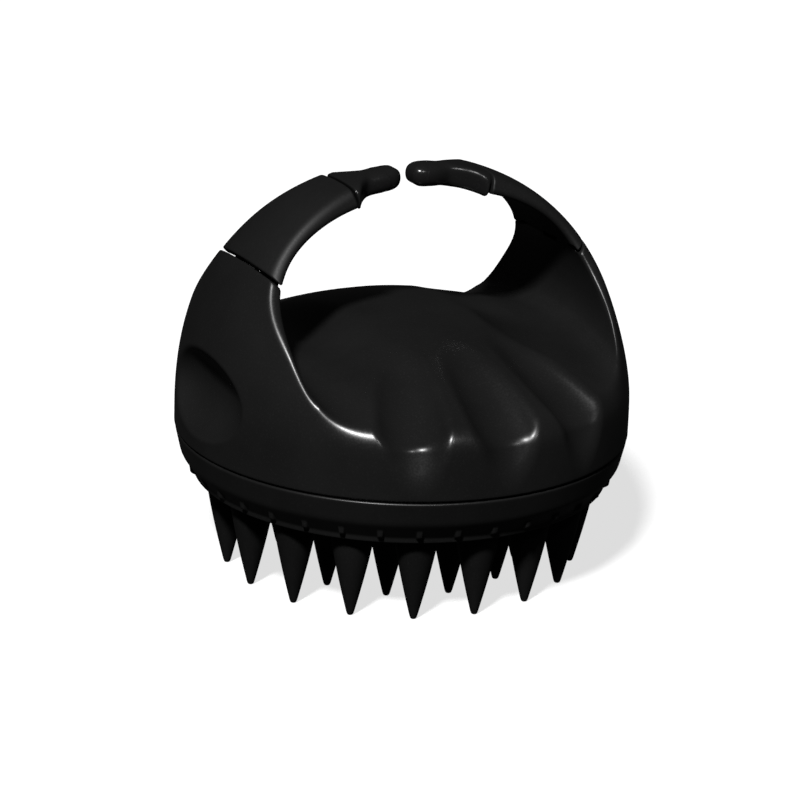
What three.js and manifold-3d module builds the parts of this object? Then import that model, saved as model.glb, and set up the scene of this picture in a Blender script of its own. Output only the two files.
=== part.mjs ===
// Scalp massager brush: a domed casing whose two springy arms close over the fingers, on a
// twist-off base that carries 37 soft fingers. Millimetres, +Z up.
// The origin is under the middle of the brush, on the plane that the finger tips touch.
// X runs across the two arms, and the hand goes through the handle along Y (front is -Y).
// Heights named "height" are above the seam between casing and base.
import * as THREE from "three";
import { mergeVertices } from "three/addons/utils/BufferGeometryUtils.js";
import Module from "manifold-3d";

const wasm = await Module();
wasm.setup();

// ---- Driving dimensions -------------------------------------------------------------------

const DEG = Math.PI / 180;
const BODY_RADIUS = 45;
const SEAM_Z = 27.5;
const WALL = 2.6;
const THIN_WALL = 1.9; // behind the grooves and the dishes, and under the dips of the saddle
const GAP = 0.3; // between two pieces that touch
const EPS = 0.5; // how far a cutter runs past the face that it opens

// Dome: a superellipse turned about Z.
const DOME_BASE = 3; // straight rim below the dome
const DOME_RISE = 50;
const DOME_POWER = 2.25;
const DOME_TOP = DOME_BASE + DOME_RISE;

// Saddle that the fingers rest on.
const MOUND_TOP = 24.3;
const BROW_RADIUS = 44.3;
const BROW_HEIGHT = 12.5;

// Inside of the arch that the two arms make, as seen along Y.
const ARCH_HALF_WIDTH = 34.2;
const ARCH_SPRING = 25;
const ARCH_TOP = 48.6;
const ARCH_POWER = 2.3;
const VALLEY_X = 22;
const VALLEY_HEIGHT = 19.5;

// Half the width of the arms (Y) at a few heights, from the brow to the top.
const ARM_HALF_WIDTHS = [
  [48, 8],
  [40, 11.4],
  [35.9, 13.3],
  [30.5, 16.1],
  [26.9, 18.8],
  [23.6, 21.8],
  [19.9, 25.6],
  [16.3, 29.4],
  [12.9, 33.1],
  [11.3, 35.5],
  [10, 38.5],
  [8.6, 43.5],
  [6.6, 50],
  [5.6, DOME_TOP + 1],
];

// The arms reach further back than that, most around mid height, and a little less far forward.
const ARM_BACK = { most: 3, height: 38, spread: 14 };
const ARM_FRONT = 0.6;

// The two splits of each arm: a point on its outer skin, and the arm's lean from level there.
const ROOT_SPLIT = { x: 35.3, height: 37, lean: 45 * DEG };
const TIP_SPLIT = { x: 15.5, height: 50.6, lean: 17 * DEG };
const SPLIT_GAP = 0.5;
const ARM_FLOOR = 28; // nothing of the arms beyond the root split is lower than this

// Tips: where the shoulder ends in the knob, and where the knob ends.
const COLLAR_LENGTH = 1.4;
const KNOB_HALF_WIDTH = 3.1;
const RIGHT_TIP = { shoulder: 7, end: -0.8 }; // reaches past the middle
const LEFT_TIP = { shoulder: 11.2, end: 2.5 };
const TIPS_MEET_X = -1.65;

// Flexible core strip inside each arm. Its ends reach into the root and the tip.
const CORE_DEPTH = 2.1; // below the outer skin
const CORE_THICKNESS = 1.2;
const CORE_WIDTH = 5;
const CORE_FROM = 37 * DEG; // along the dome's curve
const CORE_TO = 75.5 * DEG;
const SOCKET_CLEARANCE = 0.8;
const SOCKET_REACH = 2 * DEG;

// Three finger grooves over the front brow, and a dish under each arm.
// The grooves fan out from one point behind the middle. Each floor follows a bend from a
// shallow slope on the saddle to a steep one on the front.
const GROOVE_TURNS = [-17.5, 0, 17.5];
const GROOVE_FAN_Y = 18.7;
const GROOVE_SECTION = 8.5;
const GROOVE_BEND = { radius: 2.5, inward: 4.74, height: 7.86 };
const GROOVE_SLOPES = [29.5, 42, 54.5, 67.3];
const GROOVE_REACH = { inward: 34, outward: 12 };
const DISH = { height: 12.6, x: 47.4, depth: 6.3, halfWidth: 29.5, halfHeight: 10 };
const DISH_LEAN = 6.5 * DEG;

// Base ring, its grip ribs and its bayonet.
const RING_TOP = SEAM_Z - 0.35;
const RING_LOW = SEAM_Z - 9.6;
const RIB_COUNT = 36;
const RIB_WIDTH = 1.1;
const RIB_START = 7.3;
const COLLAR_OUTER = 38.3;
const COLLAR_INNER = 35.9;
const CASING_BORE = BODY_RADIUS - WALL;
const LEDGE_HEIGHT = 3;
const CATCH_THICKNESS = 1.8;
const LUG_HEIGHT = LEDGE_HEIGHT + CATCH_THICKNESS + GAP;
const COLLAR_HEIGHT = LUG_HEIGHT + CATCH_THICKNESS;
const CATCH_SPAN = 11; // degrees that one lug or ledge covers
const CATCH_STARTS = [-45.4, 84, 203.6]; // clear of the grooves and the dishes
const STOP_SPAN = 3;
const STOP_PLAY = 0.6;

// Plate, pad, seal and screws.
const WEB_INNER = 29.5;
const WEB_THICKNESS = 2.35;
const PLATE_RADIUS = 38.6;
const PLATE_THICKNESS = 2.5;
const PAD_RADIUS = 41;
const PAD_THICKNESS = 2.6;
const LIP_INNER = 39.6;
const LIP_THICKNESS = 0.9;
const SEAL = { inner: 38.6, outer: 41.8, thickness: 1.4 };
const SCREW_CIRCLE = 33;
const SCREW_ANGLES = [45, 135, 225, 315];
const SCREW_HEAD = { radius: 2.3, height: 1.5 };
const SCREW_SHANK = { radius: 1.15, length: 4.9 };

// Soft fingers: rings of cones around a middle one. Angles are in degrees.
const FINGER_RINGS = [
  { name: "finger_inner", count: 6, radius: 12, start: -32.5 },
  { name: "finger_middle", count: 12, radius: 23.8, start: -2.5 },
  { name: "finger_outer", count: 18, radius: 34.9, start: -12.4 },
];
const FINGER_BASE = 4.5;
const FINGER_TIP = 0.6;
const FINGER_FULLNESS = 1.25; // 1 is a straight cone, more is fuller

// ---- Materials ----------------------------------------------------------------------------

const finish = (color, roughness) => new THREE.MeshStandardMaterial({ color, roughness, metalness: 0 });
const SATIN_SHELL = finish(0x141414, 0.45);
const RING_PLASTIC = finish(0x131313, 0.5);
const SOFT_GRIP = finish(0x171717, 0.6);
const GLOSS_GRIP = finish(0x121212, 0.3);
const SILICONE = finish(0x151515, 0.55);
const INNER_PLASTIC = finish(0x2a2a2a, 0.6);
const STEEL = new THREE.MeshStandardMaterial({ color: 0xa8a8a8, roughness: 0.35, metalness: 1 });

// ---- Making and joining solids ------------------------------------------------------------

// A three.js geometry as a manifold solid, so that it can be joined or cut.
function solid(geometry) {
  const bare = geometry.index ? geometry.toNonIndexed() : geometry.clone();
  bare.deleteAttribute("normal");
  bare.deleteAttribute("uv");
  const merged = mergeVertices(bare, 1e-4);
  const index = merged.index.array;
  const kept = [];
  for (let i = 0; i < index.length; i += 3) {
    const [a, b, c] = [index[i], index[i + 1], index[i + 2]];
    if (a !== b && b !== c && c !== a) kept.push(a, b, c);
  }
  const vertProperties = merged.attributes.position.array;
  return new wasm.Manifold(new wasm.Mesh({ numProp: 3, vertProperties, triVerts: new Uint32Array(kept) }));
}

// A manifold solid as a three.js geometry.
function geometryOf(made) {
  const mesh = made.getMesh();
  const geometry = new THREE.BufferGeometry();
  geometry.setAttribute("position", new THREE.BufferAttribute(new Float32Array(mesh.vertProperties), 3));
  geometry.setIndex(new THREE.BufferAttribute(new Uint32Array(mesh.triVerts), 1));
  geometry.computeVertexNormals();
  return geometry;
}

const joined = (solids) => solids.reduce((a, b) => a.add(b));
const cut = (made, cutters) => cutters.reduce((a, b) => a.subtract(b), made);

// A profile of [radius, z] points turned about Z, anticlockwise with the axis on its left.
function turned(profile, segments = 72) {
  const points = profile.map(([radius, z]) => new THREE.Vector2(radius, z));
  return new THREE.LatheGeometry(points, segments).rotateX(Math.PI / 2);
}

// A shape of [a, b] points extruded both ways from the plane through the origin.
// Along "x" a is Y and b is Z, along "y" a is X and b is Z, along "z" a is X and b is Y.
function prism(outline, along, depth) {
  const shape = new THREE.Shape(outline.map(([a, b]) => new THREE.Vector2(a, b)));
  const geometry = new THREE.ExtrudeGeometry(shape, { depth: 2 * depth, bevelEnabled: false });
  geometry.translate(0, 0, -depth);
  if (along !== "z") geometry.rotateX(Math.PI / 2);
  if (along === "x") geometry.rotateZ(Math.PI / 2);
  return geometry;
}

function block(width, depth, height, place, turn = new THREE.Euler()) {
  const geometry = new THREE.BoxGeometry(width, depth, height);
  geometry.applyMatrix4(new THREE.Matrix4().makeRotationFromEuler(turn));
  return geometry.translate(...place);
}

// A piece of a ring between two radii, two Z values and two angles in degrees.
function arcBlock(inner, outer, low, high, start, span) {
  const shape = new THREE.Shape();
  shape.absarc(0, 0, outer, start * DEG, (start + span) * DEG, false);
  shape.absarc(0, 0, inner, (start + span) * DEG, start * DEG, true);
  const options = { depth: high - low, bevelEnabled: false, curveSegments: 5 };
  return new THREE.ExtrudeGeometry(shape, options).translate(0, 0, low);
}

// A round bar along Z between two Z values.
function bar(radius, low, high, segments = 16) {
  return turned([[0, low], [radius, low], [radius, high], [0, high]], segments);
}

const onCircle = (radius, degrees) => [radius * Math.cos(degrees * DEG), radius * Math.sin(degrees * DEG)];

// ---- Curves -------------------------------------------------------------------------------

// A point of the dome's outline as [x, height], moved inwards by a depth.
function domePoint(angle, depth = 0) {
  const across = Math.cos(angle) ** (2 / DOME_POWER);
  const up = Math.sin(angle) ** (2 / DOME_POWER);
  const normal = new THREE.Vector2(
    across ** (DOME_POWER - 1) / BODY_RADIUS,
    up ** (DOME_POWER - 1) / DOME_RISE,
  ).normalize();
  return [BODY_RADIUS * across - depth * normal.x, DOME_BASE + DOME_RISE * up - depth * normal.y];
}

const moundHeight = (radius) => MOUND_TOP - (MOUND_TOP - BROW_HEIGHT) * (radius / BROW_RADIUS) ** 2;

// ---- Casing and arms ----------------------------------------------------------------------

// Everything inside the outer skin.
function domeSolid() {
  const steps = 16;
  const curve = Array.from({ length: steps }, (_, i) => domePoint(((i / steps) * Math.PI) / 2));
  const skin = curve.map(([x, height]) => [x, SEAM_Z + height]);
  return solid(turned([[0, SEAM_Z], [BODY_RADIUS, SEAM_Z], ...skin, [0, SEAM_Z + DOME_TOP]]));
}

// The space below the saddle's surface, out to a radius, and a depth below that surface.
function belowMound(reach, depth, low) {
  const steps = 10;
  const surface = Array.from({ length: steps + 1 }, (_, i) => {
    const radius = reach * (1 - i / steps);
    return [radius, SEAM_Z + moundHeight(radius) - depth];
  });
  return solid(turned([[0, low], [reach, low], ...surface]));
}

// The band that the arms are cut from, as seen along X.
function armBand() {
  const back = ARM_HALF_WIDTHS.map(([y, height]) => {
    const reach = ARM_BACK.most * Math.exp(-(((height - ARM_BACK.height) / ARM_BACK.spread) ** 2));
    return [y + reach, SEAM_Z + height];
  });
  const front = ARM_HALF_WIDTHS.map(([y, height]) => [ARM_FRONT - y, SEAM_Z + height]).reverse();
  const foot = ARM_HALF_WIDTHS[0][0];
  return solid(prism([[-foot, SEAM_Z - EPS], [foot, SEAM_Z - EPS], ...back, ...front], "x", 50));
}

// The passage for the fingers, as seen along Y.
function passage() {
  const steps = 16;
  const arch = Array.from({ length: steps }, (_, i) => {
    const angle = ((i + 1) / steps) * (Math.PI / 2);
    const x = ARCH_HALF_WIDTH * Math.cos(angle) ** (2 / ARCH_POWER);
    const height = ARCH_SPRING + (ARCH_TOP - ARCH_SPRING) * Math.sin(angle) ** (2 / ARCH_POWER);
    return [x, height];
  });
  const right = [
    [12, MOUND_TOP + 1],
    [VALLEY_X - 5, VALLEY_HEIGHT + 0.9],
    [VALLEY_X, VALLEY_HEIGHT],
    [VALLEY_X + 4, VALLEY_HEIGHT + 0.2],
    [VALLEY_X + 9, VALLEY_HEIGHT + 1.3],
    [ARCH_HALF_WIDTH - 0.7, VALLEY_HEIGHT + 3.3],
    [ARCH_HALF_WIDTH, ARCH_SPRING],
    ...arch,
  ].map(([x, height]) => [x, SEAM_Z + height]);
  const left = right.slice(0, -1).map(([x, z]) => [-x, z]).reverse();
  return solid(prism([...right, ...left], "y", 50));
}

// The space between the two arm roots, which the mound alone fills. Its sides lean outwards.
function betweenRoots() {
  const right = [
    [VALLEY_X - 2, -1],
    [VALLEY_X - 2, VALLEY_HEIGHT - 5.5],
    [VALLEY_X + 8, VALLEY_HEIGHT + 1.1],
    [VALLEY_X + 8, MOUND_TOP + 2],
  ].map(([x, height]) => [x, SEAM_Z + height]);
  const left = right.map(([x, z]) => [-x, z]).reverse();
  return solid(prism([...right, ...left], "y", 50));
}

// How far the rim is from the fan point along a groove.
function rimDistance(turn) {
  const along = GROOVE_FAN_Y * Math.cos(turn);
  return along + Math.sqrt(along ** 2 + BODY_RADIUS ** 2 - GROOVE_FAN_Y ** 2);
}

// One groove: round-bottomed troughs, one on each slope of the floor.
function grooveCutter(degrees, growth = 0) {
  const turn = degrees * DEG;
  const section = new THREE.Shape();
  section.absarc(0, GROOVE_SECTION, GROOVE_SECTION + growth, Math.PI, 2 * Math.PI, false);
  const depth = GROOVE_REACH.inward + GROOVE_REACH.outward;
  const options = { depth, bevelEnabled: false, curveSegments: 20 };
  const troughs = GROOVE_SLOPES.map((slope) => {
    const lean = slope * DEG;
    const inward = GROOVE_BEND.inward - GROOVE_BEND.radius * Math.sin(lean);
    const height = GROOVE_BEND.height + GROOVE_BEND.radius * Math.cos(lean);
    const trough = new THREE.ExtrudeGeometry(section, options);
    trough.translate(0, 0, -GROOVE_REACH.inward).rotateX(Math.PI / 2 + lean);
    trough.translate(0, inward - rimDistance(turn), SEAM_Z + height);
    return solid(trough.rotateZ(turn).translate(0, GROOVE_FAN_Y, 0));
  });
  return joined(troughs);
}

function dishCutter(side, growth = 0) {
  const dish = new THREE.SphereGeometry(1, 28, 18);
  dish.scale(DISH.depth + growth, DISH.halfWidth + growth, DISH.halfHeight + growth);
  dish.rotateY(-side * DISH_LEAN);
  return solid(dish.translate(side * DISH.x, 0, SEAM_Z + DISH.height));
}

// The space of one arm that lies past a split, by an offset along the arm.
function pastSplit(split, side, offset) {
  const size = 80;
  const reach = offset + size / 2;
  const place = [
    side * (split.x - reach * Math.cos(split.lean)),
    0,
    SEAM_Z + split.height + reach * Math.sin(split.lean),
  ];
  const past = solid(block(size, size, size, place, new THREE.Euler(0, side * split.lean, 0)));
  const ownSide = solid(block(50, size, 40, [TIPS_MEET_X + side * 25, 0, SEAM_Z + ARM_FLOOR + 20]));
  return past.intersect(ownSide);
}

// A strip that follows the dome's curve, under its skin, on one side.
function coreStrip(side, from, to, thickness, width) {
  const steps = 14;
  const angles = Array.from({ length: steps + 1 }, (_, i) => from + ((to - from) * i) / steps);
  const outer = angles.map((angle) => domePoint(angle, CORE_DEPTH - thickness / 2));
  const inner = angles.map((angle) => domePoint(angle, CORE_DEPTH + thickness / 2)).reverse();
  const outline = [...outer, ...inner].map(([x, height]) => [side * x, SEAM_Z + height]);
  return solid(prism(side > 0 ? outline : outline.reverse(), "y", width / 2));
}

// Plan of one tip: the collar, concave shoulders, and the knob with its round end.
function tipPlan(side, tip) {
  const wide = 12;
  const collar = TIP_SPLIT.x - COLLAR_LENGTH;
  const shape = new THREE.Shape();
  shape.moveTo(TIP_SPLIT.x + 5, -wide);
  shape.lineTo(TIP_SPLIT.x + 5, wide);
  shape.lineTo(collar, wide);
  shape.lineTo(collar, 5.4);
  shape.quadraticCurveTo(tip.shoulder + 1, KNOB_HALF_WIDTH, tip.shoulder - 0.6, KNOB_HALF_WIDTH);
  shape.lineTo(tip.end + KNOB_HALF_WIDTH, KNOB_HALF_WIDTH);
  shape.absarc(tip.end + KNOB_HALF_WIDTH, 0, KNOB_HALF_WIDTH, Math.PI / 2, (3 * Math.PI) / 2, false);
  shape.lineTo(tip.shoulder - 0.6, -KNOB_HALF_WIDTH);
  shape.quadraticCurveTo(tip.shoulder + 1, -KNOB_HALF_WIDTH, collar, -5.4);
  shape.lineTo(collar, -wide);
  const plan = new THREE.ExtrudeGeometry(shape, { depth: 80, bevelEnabled: false, curveSegments: 8 });
  if (side < 0) plan.rotateZ(Math.PI);
  return solid(plan.translate(0, 0, SEAM_Z));
}

const dome = domeSolid();
const openArms = dome.intersect(armBand()).subtract(passage()).subtract(betweenRoots());

function makeCasing() {
  const below = dome.intersect(belowMound(BODY_RADIUS + 2, 0, SEAM_Z - EPS)).subtract(passage());
  const skins = [...GROOVE_TURNS.map((angle) => [angle, grooveCutter]), [1, dishCutter], [-1, dishCutter]];
  const cavity = cut(belowMound(CASING_BORE, WALL, SEAM_Z - EPS), [
    ...skins.map(([where, cutter]) => cutter(where, THIN_WALL)),
    passage().translate(0, 0, -THIN_WALL),
  ]);
  const cutters = [
    ...skins.map(([where, cutter]) => cutter(where)),
    ...[1, -1].map((side) => pastSplit(ROOT_SPLIT, side, 0)),
    ...[1, -1].map((side) =>
      coreStrip(
        side,
        CORE_FROM - SOCKET_REACH,
        CORE_TO,
        CORE_THICKNESS + 2 * SOCKET_CLEARANCE,
        CORE_WIDTH + 2 * GAP,
      ),
    ),
    cavity,
  ];
  const ledges = CATCH_STARTS.flatMap((start) => {
    const [inner, outer] = [COLLAR_OUTER + 0.4, BODY_RADIUS - 1];
    const low = SEAM_Z + LEDGE_HEIGHT;
    const stopStart = start - STOP_PLAY - STOP_SPAN;
    return [
      arcBlock(inner, outer, low, low + CATCH_THICKNESS, stopStart, CATCH_SPAN + STOP_SPAN),
      arcBlock(inner, outer, low, SEAM_Z + COLLAR_HEIGHT, stopStart, STOP_SPAN),
    ];
  });
  return joined([cut(below.add(openArms), cutters), ...ledges.map(solid)]);
}

function makeMid(side) {
  const length = pastSplit(ROOT_SPLIT, side, SPLIT_GAP).subtract(pastSplit(TIP_SPLIT, side, 0));
  const slot = coreStrip(side, CORE_FROM, CORE_TO, CORE_THICKNESS + 2 * GAP, CORE_WIDTH + 2 * GAP);
  return openArms.intersect(length).subtract(slot);
}

function makeTip(side, tip) {
  const length = pastSplit(TIP_SPLIT, side, SPLIT_GAP);
  const socket = coreStrip(
    side,
    CORE_FROM,
    CORE_TO + SOCKET_REACH,
    CORE_THICKNESS + 2 * SOCKET_CLEARANCE,
    CORE_WIDTH + 2 * GAP,
  );
  return openArms.intersect(length).intersect(tipPlan(side, tip)).subtract(socket);
}

// ---- Base ---------------------------------------------------------------------------------

function makeRing() {
  const wall = [
    [LIP_INNER, RING_LOW],
    [BODY_RADIUS - 3.8, RING_LOW],
    [BODY_RADIUS - 3.7, RING_LOW + 1.2],
    [BODY_RADIUS - 1.2, SEAM_Z - 4.9],
    [BODY_RADIUS - 0.2, SEAM_Z - 1],
    [BODY_RADIUS - 0.6, RING_TOP],
    [COLLAR_OUTER, RING_TOP],
    [COLLAR_OUTER, SEAM_Z + COLLAR_HEIGHT],
    [COLLAR_INNER, SEAM_Z + COLLAR_HEIGHT],
    [COLLAR_INNER, RING_TOP],
    [WEB_INNER, RING_TOP],
    [WEB_INNER, RING_TOP - WEB_THICKNESS],
    [PAD_RADIUS + GAP, RING_TOP - WEB_THICKNESS],
    [PAD_RADIUS + GAP, RING_LOW + LIP_THICKNESS],
    [LIP_INNER, RING_LOW + LIP_THICKNESS],
    [LIP_INNER, RING_LOW],
  ];
  const ribs = Array.from({ length: RIB_COUNT }, (_, i) => {
    const rib = block(4.6, RIB_WIDTH, 4.2, [BODY_RADIUS - 4.2, 0, SEAM_Z - 6.4]);
    return solid(rib.rotateZ((RIB_START + (360 / RIB_COUNT) * i) * DEG));
  });
  const lugs = CATCH_STARTS.map((start) => {
    const [inner, outer] = [COLLAR_OUTER - 0.5, CASING_BORE - 0.6];
    const low = SEAM_Z + LUG_HEIGHT;
    return solid(arcBlock(inner, outer, low, low + CATCH_THICKNESS, start, CATCH_SPAN));
  });
  const holes = SCREW_ANGLES.map((angle) => {
    const hole = bar(SCREW_SHANK.radius + GAP, RING_TOP - WEB_THICKNESS - EPS, RING_TOP + EPS);
    return solid(hole.translate(...onCircle(SCREW_CIRCLE, angle), 0));
  });
  const envelope = solid(turned([
    [0, RING_LOW],
    [BODY_RADIUS - 2.4, RING_LOW + 1],
    [BODY_RADIUS - 1.2, SEAM_Z - 4.9],
    [BODY_RADIUS - 0.9, SEAM_Z],
    [0, SEAM_Z],
  ]));
  const inside = solid(bar(PAD_RADIUS + GAP + 0.2, RING_LOW - EPS, SEAM_Z, 96));
  const outerRibs = joined(ribs).intersect(envelope).subtract(inside);
  return cut(joined([solid(turned(wall)), outerRibs, ...lugs]), holes);
}

const PLATE_TOP = RING_TOP - WEB_THICKNESS - GAP;
const PAD_LOW = RING_LOW + LIP_THICKNESS + GAP;

function makePlate() {
  const holes = SCREW_ANGLES.map((angle) => {
    const hole = bar(SCREW_SHANK.radius + GAP, PLATE_TOP - PLATE_THICKNESS - EPS, PLATE_TOP + EPS);
    return solid(hole.translate(...onCircle(SCREW_CIRCLE, angle), 0));
  });
  return cut(solid(bar(PLATE_RADIUS, PLATE_TOP - PLATE_THICKNESS, PLATE_TOP, 48)), holes);
}

// The pad is a disc with a rim that stands around the plate.
function makePad() {
  const rim = PLATE_RADIUS + GAP;
  return solid(turned([
    [0, PAD_LOW],
    [PAD_RADIUS, PAD_LOW],
    [PAD_RADIUS, PLATE_TOP],
    [rim, PLATE_TOP],
    [rim, PLATE_TOP - PLATE_THICKNESS - GAP],
    [0, PLATE_TOP - PLATE_THICKNESS - GAP],
  ], 48));
}

function makeSeal() {
  const low = RING_TOP + GAP;
  return solid(turned([
    [SEAL.inner, low],
    [SEAL.outer, low],
    [SEAL.outer, low + SEAL.thickness],
    [SEAL.inner, low + SEAL.thickness],
    [SEAL.inner, low],
  ], 60));
}

// A screw with its seat at Z 0, the head above and the shank below.
function makeScrew() {
  return solid(turned([
    [0, -SCREW_SHANK.length],
    [SCREW_SHANK.radius * 0.6, -SCREW_SHANK.length],
    [SCREW_SHANK.radius, -SCREW_SHANK.length + 0.6],
    [SCREW_SHANK.radius, 0],
    [SCREW_HEAD.radius, 0],
    [SCREW_HEAD.radius, SCREW_HEAD.height * 0.6],
    [SCREW_HEAD.radius * 0.7, SCREW_HEAD.height],
    [0, SCREW_HEAD.height],
  ], 12));
}

// A finger with its tip at Z 0 and its root just under the pad.
function makeFinger() {
  const root = PAD_LOW - GAP;
  const steps = 3;
  const flank = Array.from({ length: steps + 1 }, (_, i) => {
    const fall = 1 - i / steps;
    return [FINGER_TIP + (FINGER_BASE - FINGER_TIP) * (1 - fall ** FINGER_FULLNESS), root * (1 - fall)];
  });
  return solid(turned([[0, 0], ...flank, [0, root]], 10));
}

// ---- Assembly -----------------------------------------------------------------------------

const brush = new THREE.Group();

function addPiece(parent, name, geometry, material, place = [0, 0, 0]) {
  const mesh = new THREE.Mesh(geometry, material);
  mesh.name = name;
  mesh.position.set(...place);
  parent.add(mesh);
}

addPiece(brush, "casing", geometryOf(makeCasing()), SATIN_SHELL);

for (const [word, side, tip] of [["right", 1, RIGHT_TIP], ["left", -1, LEFT_TIP]]) {
  const arm = new THREE.Group();
  const core = coreStrip(side, CORE_FROM, CORE_TO, CORE_THICKNESS, CORE_WIDTH);
  addPiece(arm, word + "_arm_grip", geometryOf(makeMid(side)), SOFT_GRIP);
  addPiece(arm, word + "_arm_core", geometryOf(core), INNER_PLASTIC);
  addPiece(arm, word + "_arm_tip", geometryOf(makeTip(side, tip)), GLOSS_GRIP);
  brush.add(arm);
}

const base = new THREE.Group();
brush.add(base);
addPiece(base, "base_ring", geometryOf(makeRing()), RING_PLASTIC);
addPiece(base, "backing_plate", geometryOf(makePlate()), INNER_PLASTIC);
addPiece(base, "finger_pad", geometryOf(makePad()), SILICONE);
addPiece(base, "seal_ring", geometryOf(makeSeal()), SILICONE);

const screw = geometryOf(makeScrew());
SCREW_ANGLES.forEach((angle, i) => {
  const place = [...onCircle(SCREW_CIRCLE, angle), RING_TOP + GAP];
  addPiece(base, "plate_screw_" + (i + 1), screw, STEEL, place);
});

const finger = geometryOf(makeFinger());
addPiece(base, "finger_centre", finger, SILICONE);
for (const ring of FINGER_RINGS) {
  for (let i = 0; i < ring.count; i++) {
    const name = ring.name + "_" + String(i + 1).padStart(2, "0");
    const place = [...onCircle(ring.radius, ring.start + (360 / ring.count) * i), 0];
    addPiece(base, name, finger, SILICONE, place);
  }
}

export default brush;
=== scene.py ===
import math

import bpy
import numpy as np
from mathutils import Matrix, Vector


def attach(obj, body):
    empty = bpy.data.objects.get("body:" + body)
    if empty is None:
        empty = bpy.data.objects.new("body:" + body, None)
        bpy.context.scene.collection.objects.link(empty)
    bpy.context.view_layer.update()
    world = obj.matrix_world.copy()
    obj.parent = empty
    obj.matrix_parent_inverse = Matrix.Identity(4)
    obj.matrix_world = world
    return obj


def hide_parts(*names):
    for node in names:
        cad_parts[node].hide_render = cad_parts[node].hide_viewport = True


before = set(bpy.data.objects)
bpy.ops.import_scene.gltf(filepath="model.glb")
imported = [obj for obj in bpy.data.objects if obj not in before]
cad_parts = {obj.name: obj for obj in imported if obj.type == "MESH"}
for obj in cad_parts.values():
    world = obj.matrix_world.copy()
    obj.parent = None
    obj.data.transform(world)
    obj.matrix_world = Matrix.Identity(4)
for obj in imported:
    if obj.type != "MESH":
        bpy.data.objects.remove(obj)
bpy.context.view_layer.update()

# Shapes are worked out in millimetres. "height" is above the seam between casing and base.
MM = 0.001
SEAM_Z = 27.5

# ---- Dimensions ---------------------------------------------------------------------------

RADIUS = 45.0
DOME_BASE, DOME_RISE, DOME_POWER = 3.0, 50.0, 2.25
FRONT_FALL, FRONT_LEVEL, FRONT_SPAN = 0.12, 8, 20  # how much steeper the front gets, and where
MOUND_TOP, BROW_RADIUS, BROW_DROP = 24.3, 44.3, 11.8
VALLEY_X, VALLEY_TOP, VALLEY_RADIUS = 22.0, 31.5, 12.0
ARCH_HALF, ARCH_SPRING, ARCH_RISE, ARCH_POWER = 34.2, 25.0, 23.6, 2.3
# (height, half width in Y) of an arm, from its foot to its top.
ARM_WIDTHS = [
    (8, 48), (11.4, 40), (13.3, 35.9), (16.1, 30.5), (18.8, 26.9), (21.8, 23.6), (25.6, 19.9),
    (29.4, 16.3), (33.1, 12.9), (35.5, 11.3), (38.5, 10), (43.5, 8.6), (50, 6.6), (54, 5.6),
]
ARM_BACK, ARM_BACK_HEIGHT, ARM_BACK_SPREAD = 3.0, 38, 14  # extra width of the arms' back side
ARM_FRONT = 0.6  # how much narrower the arms' front side is
# Each split of an arm: (x, height) of a point on the skin, and the arm's lean there.
ROOT_SPLIT = (35.3, 37.0, math.radians(45))
TIP_SPLIT = (15.5, 50.6, math.radians(17))
SPLIT_GAP = 0.5
SPLIT_FLOOR = 28  # the root split cuts nothing below this height
LAP_REACH, LAP_RAMP = 1.2, 0.3
CASING_LAP, GRIP_LAP = 2.15, 1.85  # depths at which the two halves of the lap joint step
FAN_Y = 18.7  # the grooves fan out from this point on the axis Y
GROOVE_TURNS = (-17.9, -0.7, 16.6)
GROOVE_SECTION = 8.5
GROOVE_BEND = (4.74, 7.86, 2.5)  # inward from the rim, height, radius
GROOVE_SLOPES = (math.radians(29.5), math.radians(67.3))
DISH_PLACE = (50.5, 12.4)  # (distance from the axis, height) of the middle
DISH_AXES = (12.0, 20.5, 9.8)
DISH_LEAN = math.radians(10)
CORE_DEPTH, CORE_HALF, CORE_HALF_WIDTH = 2.1, 0.6, 2.5
BORE, WALL, THIN_WALL = 42.4, 2.6, 1.9


# ---- Distance fields ----------------------------------------------------------------------
# Each takes coordinates and gives a distance that is negative inside the solid.

def smooth_max(a, b, k):
    near = np.maximum(k - np.abs(a - b), 0) / k
    return np.maximum(a, b) + near * near * k / 4


def smooth_min(a, b, k):
    return -smooth_max(-a, -b, k)


def superellipse(across, up, half, rise, power):
    """Distance to |across/half|^power + |up/rise|^power = 1, straight-sided below up = 0."""
    u = np.abs(across) / half + 1e-6
    v = np.maximum(up, 0) / rise
    ring = (u**power + v**power) ** (1 / power)
    slope = np.hypot((u / ring) ** (power - 1) / half, (v / ring) ** (power - 1) / rise)
    return (ring - 1) / slope


def dome(x, y, height):
    """The outer skin, whose front falls away a little faster above the brow."""
    level = np.clip((height - FRONT_LEVEL) / FRONT_SPAN, 0, 1)
    depth = y * np.where(y < 0, 1 + FRONT_FALL * level * level * (3 - 2 * level), 1)
    return superellipse(np.hypot(x, depth), height - DOME_BASE, RADIUS, DOME_RISE, DOME_POWER)


def mound(x, y, height):
    curve = BROW_DROP / BROW_RADIUS**2
    radius = np.hypot(x, y)
    return (height - MOUND_TOP + curve * radius**2) / np.hypot(1, 2 * curve * radius)


arm_fit = np.polynomial.Polynomial.fit(
    [row[0] for row in ARM_WIDTHS], np.log([row[1] for row in ARM_WIDTHS]), 7
)
arm_slope = arm_fit.deriv()


def arm_band(y, height):
    """The two slanting sides of the arms, as seen along X."""
    level = np.clip(height, 8, 54)
    half = np.exp(arm_fit(level))
    slant = np.hypot(1, half * arm_slope(level))
    bulge = ARM_BACK * np.exp(-(((level - ARM_BACK_HEIGHT) / ARM_BACK_SPREAD) ** 2))
    return (np.abs(y) - half - np.where(y > 0, bulge, -ARM_FRONT)) / slant


def arch(x, height):
    return superellipse(x, height - ARCH_SPRING, ARCH_HALF, ARCH_RISE, ARCH_POWER)


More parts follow.
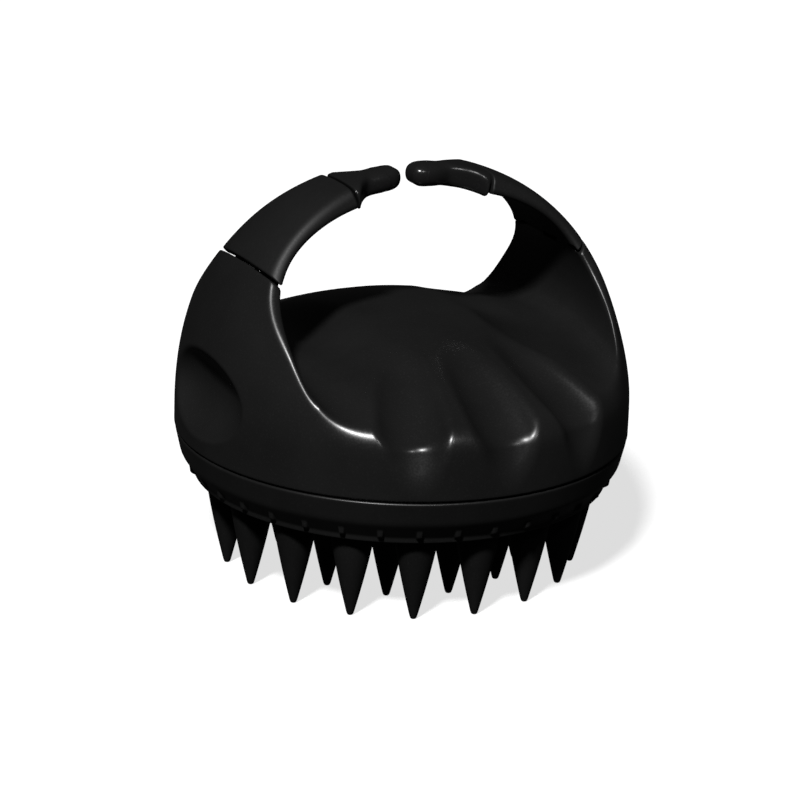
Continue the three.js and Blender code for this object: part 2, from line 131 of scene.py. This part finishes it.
def arms(x, y, height, edge):
    return smooth_max(arm_band(y, height), -arch(x, height), edge)


def saddle(x, y, height):
    """The mound with a dip on either side of its middle."""
    valley = VALLEY_RADIUS - np.hypot(np.abs(x) - VALLEY_X, height - VALLEY_TOP)
    return smooth_max(mound(x, y, height), np.minimum(valley, VALLEY_TOP - 1.5 - height), 2.5)


def handle(x, y, height, seat):
    """The saddle with both arm roots, each rising out of it through a wide channel."""
    channel = smooth_min(seat, -arch(x, height), 9)
    joining = 0.3 + np.minimum(1.5 * (seat - channel), 4)
    return smooth_min(seat, smooth_max(arm_band(y, height), channel, 1.0), joining)


def groove(x, y, height, degrees):
    """Positive inside the trough of one groove."""
    turn = math.radians(degrees)
    along = FAN_Y * math.cos(turn)
    rim = along + math.sqrt(along**2 + RADIUS**2 - FAN_Y**2)
    lateral = x * math.cos(turn) + (y - FAN_Y) * math.sin(turn)
    inward = rim - x * math.sin(turn) + (y - FAN_Y) * math.cos(turn)
    u, v = inward - GROOVE_BEND[0], height - GROOVE_BEND[1]
    lean = np.clip(np.arctan2(-u, v), *GROOVE_SLOPES)
    rise = v * np.cos(lean) - u * np.sin(lean) - GROOVE_BEND[2]
    trough = GROOVE_SECTION - np.hypot(rise - GROOVE_SECTION, lateral)
    return np.minimum(trough, 39 - height)


def dish(x, y, height):
    """Positive inside the shallow dish under one arm or the other."""
    out, up = np.abs(x) - DISH_PLACE[0], height - DISH_PLACE[1]
    a = (out * math.cos(DISH_LEAN) + up * math.sin(DISH_LEAN)) / DISH_AXES[0]
    b = y / DISH_AXES[1]
    c = (up * math.cos(DISH_LEAN) - out * math.sin(DISH_LEAN)) / DISH_AXES[2]
    size = np.sqrt(a * a + b * b + c * c) + 1e-6
    slope = np.sqrt((a / DISH_AXES[0]) ** 2 + (b / DISH_AXES[1]) ** 2 + (c / DISH_AXES[2]) ** 2)
    return (1 - size) * size / slope


def past_split(x, height, split):
    """How far along its arm a point lies past a split."""
    return (height - split[1]) * math.sin(split[2]) - (np.abs(x) - split[0]) * math.cos(split[2])


def lapped(x, y, height, limit):
    """Past the root split, where beyond a depth the casing's inner half reaches under the grip."""
    depth = -dome(x, y, height)
    under = np.clip((depth - limit) / LAP_RAMP, 0, 1)
    return past_split(x, height, ROOT_SPLIT) - LAP_REACH * under


def core_slot(x, y, height, play):
    """Room for the core strip, with play on its inner side, where its ends swing to."""
    depth = -dome(x, 0 * y, height) - CORE_DEPTH
    across = np.maximum(-depth - CORE_HALF - 0.2, depth - CORE_HALF - play)
    return np.maximum(across, np.abs(y) - CORE_HALF_WIDTH - 0.3)


def casing_field(x, y, height):
    softness = 0.9 + 1.6 / (1 + np.exp((height - 13.5) / 1.2))
    seat = saddle(x, y, height)
    skin = smooth_max(dome(x, y, height), handle(x, y, height, seat), softness)
    scoops = [groove(x, y, height, turn) for turn in GROOVE_TURNS]
    hollow = np.maximum(np.hypot(x, y) - BORE, seat + WALL)
    for scoop in scoops:
        skin = smooth_max(skin, scoop, 1.0)
        hollow = np.maximum(hollow, scoop + THIN_WALL)
    hollows = dish(x, y, height)
    hollow = np.maximum(hollow, hollows + THIN_WALL)
    skin = smooth_max(skin, hollows, 0.7)
    skin = smooth_max(skin, -height, 0.5)
    split = past_split(x, height, ROOT_SPLIT)
    beyond = np.where(height > SPLIT_FLOOR, lapped(x, y, height, CASING_LAP), -5)
    skin = smooth_max(skin, beyond, 0.4)
    socket = np.maximum(core_slot(x, y, height, 0.9), -4.5 - split)
    return smooth_max(smooth_max(skin, -socket, 0.2), -hollow, 0.3)


def grip_field(x, y, height):
    band = smooth_max(dome(x, y, height), arms(x, y, height, 1.4) - 0.2, 1.5)
    band = smooth_max(band, SPLIT_GAP - lapped(x, y, height, GRIP_LAP), 0.4)
    band = smooth_max(band, past_split(x, height, TIP_SPLIT), 0.4)
    return smooth_max(band, -core_slot(x, y, height, 0.2), 0.2)


def tip_field(x, y, height, end, knob, neck, shoulder):
    """One tip: its end, a knob as (middle, half length, half width), a neck as (x, half width)
    and the shoulder where it widens."""
    inner = np.clip((x - neck[0]) / (shoulder - neck[0]), 0, 1)
    half = neck[1] + (6.7 - neck[1]) * inner**1.8
    arm = np.maximum(smooth_max(np.abs(y) - half, arm_band(y, height) - 0.2, 0.8), knob[0] - x)
    ball = superellipse(x - knob[0], np.abs(y), knob[1], knob[2], 2.3)
    plan = smooth_min(arm, np.maximum(ball, end - x), 1.6)
    flare = np.clip((x - shoulder + 0.6) / 1.2, 0, 1)
    thick = 4.7 - 0.1 * np.clip((x - neck[0]) / 3, 0, 1) + 1.0 * flare * flare * (3 - 2 * flare)
    slab = smooth_max(dome(x, y, height), -dome(x, y, height) - thick, 3.2)
    rounding = 1.6 + 1.8 / (1 + np.exp((x - neck[0]) / 0.8))
    body = smooth_max(slab, plan, rounding)
    body = smooth_max(body, SPLIT_GAP - past_split(x, height, TIP_SPLIT), 0.4)
    socket = np.maximum(core_slot(x, y, height, 0.8), 12.6 - x)
    return smooth_max(body, -socket, 0.2)


# ---- Meshes -------------------------------------------------------------------------------

def surface_net(values, low, step):
    """Points and four-sided faces of the zero surface of a grid of distances."""
    size = np.array(values.shape)
    strides = np.array([size[1] * size[2], size[2], 1])
    inside = values < 0
    cells, points, flips = [], [], []
    for axis in range(3):
        first = [slice(1, -1)] * 3
        second = [slice(1, -1)] * 3
        first[axis], second[axis] = slice(1, -2), slice(2, -1)
        first, second = tuple(first), tuple(second)
        where = np.argwhere(inside[first] != inside[second]) + 1
        a = values[tuple(where.T)]
        other = where.copy()
        other[:, axis] += 1
        b = values[tuple(other.T)]
        point = where.astype(float)
        point[:, axis] += a / (a - b)
        u, v = (axis + 1) % 3, (axis + 2) % 3
        corners = []
        for du, dv in ((-1, -1), (0, -1), (0, 0), (-1, 0)):
            cell = where.copy()
            cell[:, u] += du
            cell[:, v] += dv
            corners.append(cell @ strides)
        cells.append(np.stack(corners, axis=1))
        points.append(point)
        flips.append(a > 0)
    cells, points, flips = np.concatenate(cells), np.concatenate(points), np.concatenate(flips)
    _, index = np.unique(cells.ravel(), return_inverse=True)
    index = index.reshape(-1)
    count = np.bincount(index)
    spread = np.repeat(points, 4, axis=0)
    middle = np.stack([np.bincount(index, weights=spread[:, i]) / count for i in range(3)], axis=1)
    faces = index.reshape(-1, 4)
    faces[flips] = faces[flips][:, ::-1]
    return low + middle * step, faces


def gradient(field, points):
    d = 0.02
    slopes = []
    for axis in range(3):
        shift = np.zeros(3)
        shift[axis] = d
        slopes.append((field(*(points + shift).T) - field(*(points - shift).T)) / (2 * d))
    return np.stack(slopes, axis=1)


def relaxed(points, faces, rounds):
    """Moves each point towards the middle of its neighbours along the faces' edges."""
    ends = np.concatenate([faces[:, [0, 1]], faces[:, [1, 2]], faces[:, [2, 3]], faces[:, [3, 0]]])
    a = np.concatenate([ends[:, 0], ends[:, 1]])
    b = np.concatenate([ends[:, 1], ends[:, 0]])
    count = np.bincount(a, minlength=len(points))
    for _ in range(rounds):
        sums = [np.bincount(a, weights=points[b, i], minlength=len(points)) for i in range(3)]
        points = points + 0.5 * (np.stack(sums, axis=1) / count[:, None] - points)
    return points


def settled(field, points, rounds=3):
    """Moves points onto the zero surface."""
    for _ in range(rounds):
        slope = gradient(field, points)
        steepness = np.maximum((slope**2).sum(axis=1), 0.3)
        step = (field(*points.T) / steepness)[:, None] * slope
        points = points - np.clip(step, -0.2, 0.2)
    return points


def mesh_piece(name, points, faces, normals=None):
    """A smooth object from points in millimetres in the part's frame."""
    mesh = bpy.data.meshes.new(name)
    mesh.from_pydata((np.asarray(points) * MM).tolist(), [], np.asarray(faces).tolist())
    mesh.validate()
    mesh.shade_smooth()
    if normals is not None and len(normals) == len(mesh.vertices):
        mesh.normals_split_custom_set_from_vertices(normals.tolist())
    made = bpy.data.objects.new(name, mesh)
    bpy.context.scene.collection.objects.link(made)
    return made


def carved(name, field, low, high, step):
    """A piece from a distance field. Its box is given with heights above the seam."""
    low, high = np.array(low, float), np.array(high, float)
    axes = [np.arange(low[i], high[i] + step, step) for i in range(3)]
    planes = [
        field(*np.meshgrid(axes[0][i : i + 24], axes[1], axes[2], indexing="ij"))
        for i in range(0, len(axes[0]), 24)
    ]
    points, faces = surface_net(np.concatenate(planes), low, step)
    points = settled(field, points)
    points = settled(field, relaxed(points, faces, 3))
    normals = gradient(field, points)
    normals /= np.maximum(np.linalg.norm(normals, axis=1), 1e-6)[:, None]
    return mesh_piece(name, points + np.array([0, 0, SEAM_Z]), faces, normals)


def lathe(profile, angles, rib=None):
    """Points and faces of a closed profile of (radius, z) turned about Z.
    rib(angle, z, radius), where given, changes the radius."""
    profile = np.asarray(profile, float)
    count, rows = len(angles), len(profile)
    radius = np.repeat(profile[:, 0][None], count, axis=0)
    turn = np.asarray(angles)[:, None] + 0 * radius
    z = np.repeat(profile[:, 1][None], count, axis=0)
    if rib:
        radius = rib(turn, z, radius)
    points = np.stack([radius * np.cos(turn), radius * np.sin(turn), z], axis=2).reshape(-1, 3)
    i, j = np.meshgrid(np.arange(count), np.arange(rows), indexing="ij")
    ahead, above = (i + 1) % count, (j + 1) % rows
    corners = [i * rows + j, ahead * rows + j, ahead * rows + above, i * rows + above]
    faces = np.stack(corners, axis=2)
    return points, faces.reshape(-1, 4)


def rounded(corners, steps=4):
    """A closed outline of (radius, z, bend) corners with each corner rounded."""
    outline = []
    count = len(corners)
    for i, (r, z, bend) in enumerate(corners):
        here = np.array([r, z])
        before = np.array(corners[i - 1][:2]) - here
        after = np.array(corners[(i + 1) % count][:2]) - here
        lengths = [np.linalg.norm(edge) for edge in (before, after)]
        reach = [min(bend, 0.45 * length) / length for length in lengths]
        start, end = here + before * reach[0], here + after * reach[1]
        for t in np.linspace(0, 1, steps):
            outline.append((1 - t) ** 2 * start + 2 * t * (1 - t) * here + t * t * end)
    return outline


def densified(outline, spacing):
    """More points along the long sides of an outline."""
    dense = []
    for i, here in enumerate(outline):
        after = outline[(i + 1) % len(outline)]
        parts = max(1, math.ceil(np.linalg.norm(after - here) / spacing))
        dense += [here + (after - here) * k / parts for k in range(parts)]
    return dense


# ---- Materials ----------------------------------------------------------------------------

class Nodes:
    """A material's node tree, with short calls for the nodes that every finish shares."""

    def __init__(self, name):
        self.material = bpy.data.materials.new(name)
        self.material.use_nodes = True
        self.tree = self.material.node_tree
        self.shader = self.tree.nodes["Principled BSDF"]
        self.coords = self.add("ShaderNodeTexCoord").outputs["Object"]

    def add(self, kind, inputs=None, **settings):
        node = self.tree.nodes.new(kind)
        for key, value in settings.items():
            setattr(node, key, value)
        for key, value in (inputs or {}).items():
            if isinstance(value, bpy.types.NodeSocket):
                self.tree.links.new(value, node.inputs[key])
            else:
                node.inputs[key].default_value = value
        return node

    def noise(self, scale, detail=2.0, roughness=0.5):
        inputs = {"Vector": self.coords, "Scale": scale, "Detail": detail, "Roughness": roughness}
        return self.add("ShaderNodeTexNoise", inputs).outputs["Fac"]

    def mapped(self, value, low, high, to_low, to_high):
        inputs = {
            "Value": value, "From Min": low, "From Max": high, "To Min": to_low, "To Max": to_high,
        }
        return self.add("ShaderNodeMapRange", inputs).outputs["Result"]

    def math(self, operation, a, b):
        node = self.add("ShaderNodeMath", {0: a, 1: b}, operation=operation)
        return node.outputs[0]

    def mixed(self, factor, a, b):
        node = self.add("ShaderNodeMix", data_type="RGBA")
        self.tree.links.new(factor, node.inputs["Factor"])
        for socket, value in ((6, a), (7, b)):
            if isinstance(value, bpy.types.NodeSocket):
                self.tree.links.new(value, node.inputs[socket])
            else:
                node.inputs[socket].default_value = (*value, 1)
        return node.outputs[2]

    def bump(self, layers):
        """Bumps stacked from (height, strength, distance in metres) layers."""
        normal = None
        for height, strength, distance in layers:
            inputs = {"Height": height, "Strength": strength, "Distance": distance}
            if normal:
                inputs["Normal"] = normal
            normal = self.add("ShaderNodeBump", inputs).outputs["Normal"]
        self.tree.links.new(normal, self.shader.inputs["Normal"])

    def link(self, value, socket):
        self.tree.links.new(value, self.shader.inputs[socket])


def moulded(name, dark, light, roughness, grain, specular, worn=0.5):
    """A black moulding: mottled, finely grained, a little paler and smoother in worn patches."""
    nodes = Nodes(name)
    mottle = nodes.noise(55, 4, 0.6)
    cloud = nodes.noise(18, 2)
    speck = nodes.noise(2600, 1)
    patches = nodes.mapped(cloud, 0.5, 0.7, 0, worn)
    wear = nodes.math("MULTIPLY", patches, nodes.mapped(mottle, 0.4, 0.65, 0.3, 1))
    body = nodes.mixed(nodes.mapped(mottle, 0.35, 0.7, 0, 1), dark, light)
    specked = nodes.mixed(nodes.mapped(speck, 0.6, 0.75, 0, 0.3), body, [1.6 * c for c in light])
    nodes.link(nodes.mixed(wear, specked, [1.3 * c for c in light]), "Base Color")
    spread = nodes.mapped(cloud, 0.35, 0.65, roughness - 0.05, roughness + 0.05)
    uneven = nodes.math("ADD", spread, nodes.mapped(speck, 0.3, 0.7, -0.03, 0.03))
    nodes.link(nodes.math("SUBTRACT", uneven, nodes.math("MULTIPLY", wear, 0.12)), "Roughness")
    pits = nodes.noise(1500, 3, 0.6)
    ripple = nodes.noise(70, 2)
    nodes.bump([(ripple, 0.1, 0.0003), (pits, grain, 0.00004)])
    nodes.shader.inputs["Specular IOR Level"].default_value = specular
    nodes.shader.inputs["IOR"].default_value = 1.5
    return nodes.material


def brushed_steel():
    nodes = Nodes("zinc_steel")
    drawn = {"Vector": nodes.coords, "Scale": (1, 14, 1)}
    stretch = nodes.add("ShaderNodeMapping", drawn).outputs[0]
    fine = {"Vector": stretch, "Scale": 900.0, "Detail": 3.0}
    lines = nodes.add("ShaderNodeTexNoise", fine).outputs["Fac"]
    stain = nodes.noise(300, 3)
    nodes.link(nodes.mixed(stain, (0.42, 0.42, 0.43), (0.62, 0.61, 0.6)), "Base Color")
    nodes.link(nodes.mapped(lines, 0.3, 0.7, 0.25, 0.45), "Roughness")
    nodes.bump([(lines, 0.2, 0.00005)])
    nodes.shader.inputs["Metallic"].default_value = 1
    return nodes.material


satin_shell = moulded("satin_black_shell", (0.0075,) * 3, (0.0095,) * 3, 0.3, 0.12, 0.24)
ring_plastic = moulded("ring_black_plastic", (0.0065,) * 3, (0.0085,) * 3, 0.36, 0.15, 0.25)
soft_grip = moulded("soft_touch_rubber", (0.0065,) * 3, (0.0085,) * 3, 0.5, 0.3, 0.2, 0.3)
gloss_grip = moulded("semi_gloss_rubber", (0.0075,) * 3, (0.0095,) * 3, 0.26, 0.08, 0.35, 0.3)
silicone = moulded("matt_black_silicone", (0.0055,) * 3, (0.0075,) * 3, 0.5, 0.2, 0.2, 0.2)
inner_plastic = moulded("inner_grey_plastic", (0.02,) * 3, (0.028,) * 3, 0.55, 0.4, 0.3)
steel = brushed_steel()


def fitted(piece, material, slot, body, *nodes):
    piece.data.materials.append(material)
    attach(piece, body)
    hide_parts(*nodes)
    return piece


# ---- Casing and arms ----------------------------------------------------------------------

coarse = 1

casing_box = (-46.5, -46.5, -1.5), (46.5, 46.5, 39.5)
casing = carved("casing_skin", casing_field, *casing_box, 0.42 * coarse)
fitted(casing, satin_shell, "satin_shell", "handle", "casing")

TIPS = {
    "right": dict(end=-0.6, knob=(3.1, 4.0, 3.6), neck=(6.6, 2.5), shoulder=13.9),
    "left": dict(end=2.4, knob=(6.4, 4.2, 3.5), neck=(9.8, 2.8), shoulder=14.0),
}
for word, side in (("right", 1), ("left", -1)):
    def grip(x, y, height, side=side):
        return np.maximum(grip_field(x, y, height), 10 - side * x)

    def tip(x, y, height, side=side, word=word):
        return tip_field(side * x, y, height, **TIPS[word])

    reach = sorted((side * 12.0, side * 38.0))
    box = (reach[0], -15, 33), (reach[1], 15, 54.5)
    made = carved(word + "_grip_skin", grip, *box, 0.26 * coarse)
    fitted(made, soft_grip, "soft_grip", word + "_grip", word + "_arm_grip")
    reach = sorted((side * -2.5, side * 17.0))
    box = (reach[0], -9, 43), (reach[1], 9, 54.5)
    made = carved(word + "_tip_skin", tip, *box, 0.2 * coarse)
    fitted(made, gloss_grip, "gloss_grip", word + "_tip", word + "_arm_tip")

# ---- Base ---------------------------------------------------------------------------------

RIB_COUNT, RIB_PITCH, RIB_START = 36, math.radians(10), math.radians(7.3)
RIB_RADIUS = 43
RING_TOP, RING_LOW = SEAM_Z - 0.35, SEAM_Z - 9.6
PAD_LOW = RING_LOW + 1.2
PLATE_LOW = RING_TOP - 2.35 - 0.3 - 2.5


def ribbed(turn, z, radius):
    """Grip ribs that fill the cove under the ring's wall."""
    offset = (turn - RIB_START + RIB_PITCH / 2) % RIB_PITCH - RIB_PITCH / 2
    beside = np.clip((np.abs(offset) * RIB_RADIUS - 0.42) / 0.26, 0, 1)
    taper = 0.3 * np.clip((SEAM_Z - 5.2 - z) / 3, 0, 1) ** 2
    end = 1.1 * np.clip((SEAM_Z - 8.1 - z) / 0.6, 0, 1)
    full = 42.75 - taper - end
    cove = (z < SEAM_Z - 5.0) & (z > SEAM_Z - 8.95) & (radius > 40.8)
    filled = np.where(cove, np.maximum(full, radius), radius)
    return radius + (filled - radius) * (1 - beside * beside * (3 - 2 * beside))


ring_outline = densified(rounded([
    (39.6, RING_LOW, 0.2),
    (41.2, RING_LOW, 0.25),
    (41.3, SEAM_Z - 8.5, 0.3),
    (43.8, SEAM_Z - 5.1, 0.7),
    (44.8, SEAM_Z - 0.65, 0.2),
    (44.55, RING_TOP, 0.15),
    (38.3, RING_TOP, 0.2),
    (38.3, SEAM_Z + 6.9, 0.4),
    (35.9, SEAM_Z + 6.9, 0.4),
    (35.9, RING_TOP, 0.2),
    (29.5, RING_TOP, 0.4),
    (29.5, RING_TOP - 2.35, 0.4),
    (41.3, RING_TOP - 2.35, 0.2),
    (41.3, RING_LOW + 0.9, 0.1),
    (39.6, RING_LOW + 0.9, 0.2),
]), 0.35)
RIB_STEPS = (-0.75, -0.66, -0.58, -0.48, -0.38, 0, 0.38, 0.48, 0.58, 0.66, 0.75)
around = []
for rib_index in range(RIB_COUNT):
    centre = RIB_START + rib_index * RIB_PITCH
    near = [centre + d / RIB_RADIUS for d in RIB_STEPS]
    after_gap = centre + RIB_PITCH - RIB_STEPS[-1] / RIB_RADIUS
    around += near + list(np.linspace(near[-1], after_gap, 7)[1:-1])
ring_points, ring_faces = lathe(ring_outline, around, ribbed)
ring = mesh_piece("base_ring_skin", ring_points, ring_faces)
fitted(ring, ring_plastic, "ring_plastic", "base", "base_ring")

pad_outline = densified(rounded([
    (0.05, PAD_LOW, 0.01),
    (41, PAD_LOW, 0.3),
    (41, PLATE_LOW + 2.5, 0.3),
    (38.9, PLATE_LOW + 2.5, 0.2),
    (38.9, PLATE_LOW - 0.3, 0.2),
    (0.05, PLATE_LOW - 0.3, 0.01),
]), 1.5)
pad_angles = np.linspace(0, 2 * math.pi, 96, endpoint=False)
pad = mesh_piece("finger_pad_skin", *lathe(pad_outline, pad_angles))
fitted(pad, silicone, "silicone", "base", "finger_pad")


def finger_outline():
    """From the tip up: a small rounded end, a slightly full cone, and a flare into the pad."""
    outline = [(0.02, 0.0), (0.25, 0.01), (0.45, 0.06), (0.58, 0.17), (0.66, 0.34)]
    for z in np.concatenate([np.linspace(0.7, 16.4, 16), np.linspace(16.9, PAD_LOW + 0.1, 8)]):
        radius = 0.6 + 3.9 * (1 - max(0, 1 - z / 18.8) ** 1.25)
        outline.append((radius + 0.55 * max(0, (z - 17) / 2.1) ** 3, z))
    outline.append((outline[-1][0], PAD_LOW + 0.4))
    outline.append((0.02, PAD_LOW + 0.4))
    return outline


finger_angles = np.linspace(0, 2 * math.pi, 40, endpoint=False)
finger_points, finger_faces = lathe(finger_outline(), finger_angles)
# (name, count, radius of the ring, degrees at which it starts)
FINGER_RINGS = [
    ("finger_inner", 6, 12, -32.5),
    ("finger_middle", 12, 23.8, -2.5),
    ("finger_outer", 18, 34.9, -12.4),
]
fingers = [("finger_centre", 0.0, 0.0)]
for name, count, radius, start in FINGER_RINGS:
    for i in range(count):
        angle = math.radians(start + 360 / count * i)
        fingers.append((f"{name}_{i + 1:02d}", radius * math.cos(angle), radius * math.sin(angle)))
for name, x, y in fingers:
    made = mesh_piece(name + "_skin", finger_points + np.array([x, y, 0]), finger_faces)
    fitted(made, silicone, "silicone", "base", name)

for node, material in [
    ("right_arm_core", inner_plastic),
    ("left_arm_core", inner_plastic),
    ("backing_plate", inner_plastic),
    ("seal_ring", silicone),
] + [(f"plate_screw_{i}", steel) for i in range(1, 5)]:
    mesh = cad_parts[node].data
    mesh.materials.clear()
    mesh.materials.append(material)

# ---- Studio -------------------------------------------------------------------------------

VIEW_TURN, VIEW_RISE = math.radians(28.5), math.radians(19.6)


def emitter(name, place, target, width, depth, watts):
    light = bpy.data.lights.new(name, "AREA")
    light.shape = "RECTANGLE"
    light.size, light.size_y, light.energy = width, depth, watts
    made = bpy.data.objects.new(name, light)
    made.location = place
    made.rotation_euler = (Vector(target) - Vector(place)).to_track_quat("-Z", "Y").to_euler()
    bpy.context.scene.collection.objects.link(made)
    return made


def from_object(azimuth, elevation, distance):
    """A place seen from the object: azimuth 0 is the front, and it turns towards +X."""
    a, e = math.radians(azimuth), math.radians(elevation)
    level = distance * math.cos(e)
    return (level * math.sin(a), -level * math.cos(a), 0.045 + distance * math.sin(e))


def backdrop():
    """A pale floor that curves up behind the object into a wall."""
    profile = [(-3.0, 0.0), (1.2, 0.0)]
    for t in np.linspace(0.1, math.pi / 2, 14):
        profile.append((1.2 + 0.8 * math.sin(t), 0.8 - 0.8 * math.cos(t)))
    profile.append((2.0, 3.5))
    c, s = math.cos(-VIEW_TURN), math.sin(-VIEW_TURN)
    points, faces = [], []
    for y, z in profile:
        for x in (-4.0, 4.0):
            points.append((x * c - y * s, x * s + y * c, z))
    for i in range(len(profile) - 1):
        faces.append((2 * i, 2 * i + 1, 2 * i + 3, 2 * i + 2))
    return mesh_piece("pale_floor", np.array(points) / MM, faces)


floor = backdrop()
paper = Nodes("pale_paper")
fibre = paper.noise(90, 4, 0.6)
blend = paper.mapped(fibre, 0.3, 0.7, 0, 1)
paper.link(paper.mixed(blend, (0.33, 0.33, 0.33), (0.35, 0.35, 0.35)), "Base Color")
paper.link(paper.mapped(fibre, 0.3, 0.7, 0.85, 0.95), "Roughness")
paper.bump([(fibre, 0.05, 0.0002)])
paper.shader.inputs["Specular IOR Level"].default_value = 0.1
paper.shader.inputs["Emission Color"].default_value = (1, 1, 1, 1)
paper.shader.inputs["Emission Strength"].default_value = 0.72
floor.data.materials.append(paper.material)
# The floor shines by itself, and throws no light back on the brush.
floor.visible_glossy = False
floor.visible_diffuse = False

target = (0, 0, 0.045)
key = bpy.data.objects.new("key_light", bpy.data.lights.new("key_light", "SUN"))
key.data.energy, key.data.angle = 4.7, math.radians(7)
key.rotation_euler = Vector(from_object(-44, 47, 1.0)).to_track_quat("Z", "Y").to_euler()
bpy.context.scene.collection.objects.link(key)
# This light makes highlights only.
glint = emitter("fill_light", from_object(-9, 42, 1.2), target, 0.14, 0.1, 2.6)
glint.visible_diffuse = False

world = bpy.data.worlds.new("studio")
world.use_nodes = True
world.node_tree.nodes["Background"].inputs["Color"].default_value = (1, 1, 1, 1)
world.node_tree.nodes["Background"].inputs["Strength"].default_value = 0.012
bpy.context.scene.world = world
bpy.context.scene.view_settings.view_transform = "Standard"

# ---- Camera -------------------------------------------------------------------------------

def looking(place, aim, roll):
    """A camera matrix at a place, looking at a point, turned about its own axis."""
    back = (place - aim).normalized()
    right = Vector((0, 0, 1)).cross(back).normalized()
    up = back.cross(right)
    upright = Matrix((right, up, back)).transposed().to_4x4()
    return Matrix.Translation(place) @ upright @ Matrix.Rotation(roll, 4, "Z")


seam = Vector((0, 0, SEAM_Z * MM))
ROLL = math.radians(2.1)
place = seam + 0.6 * Vector((
    -math.sin(VIEW_TURN) * math.cos(VIEW_RISE),
    -math.cos(VIEW_TURN) * math.cos(VIEW_RISE),
    math.sin(VIEW_RISE),
))
axes = looking(place, seam, ROLL).to_3x3()
aim = seam + axes @ Vector((-0.00020, 0.00420, 0))
camera_data = bpy.data.cameras.new("camera")
camera_data.lens = 135.8
camera_data.clip_start, camera_data.clip_end = 0.05, 20
camera = bpy.data.objects.new("camera", camera_data)
camera.matrix_world = looking(place, aim, ROLL)
bpy.context.scene.collection.objects.link(camera)
bpy.context.scene.camera = camera
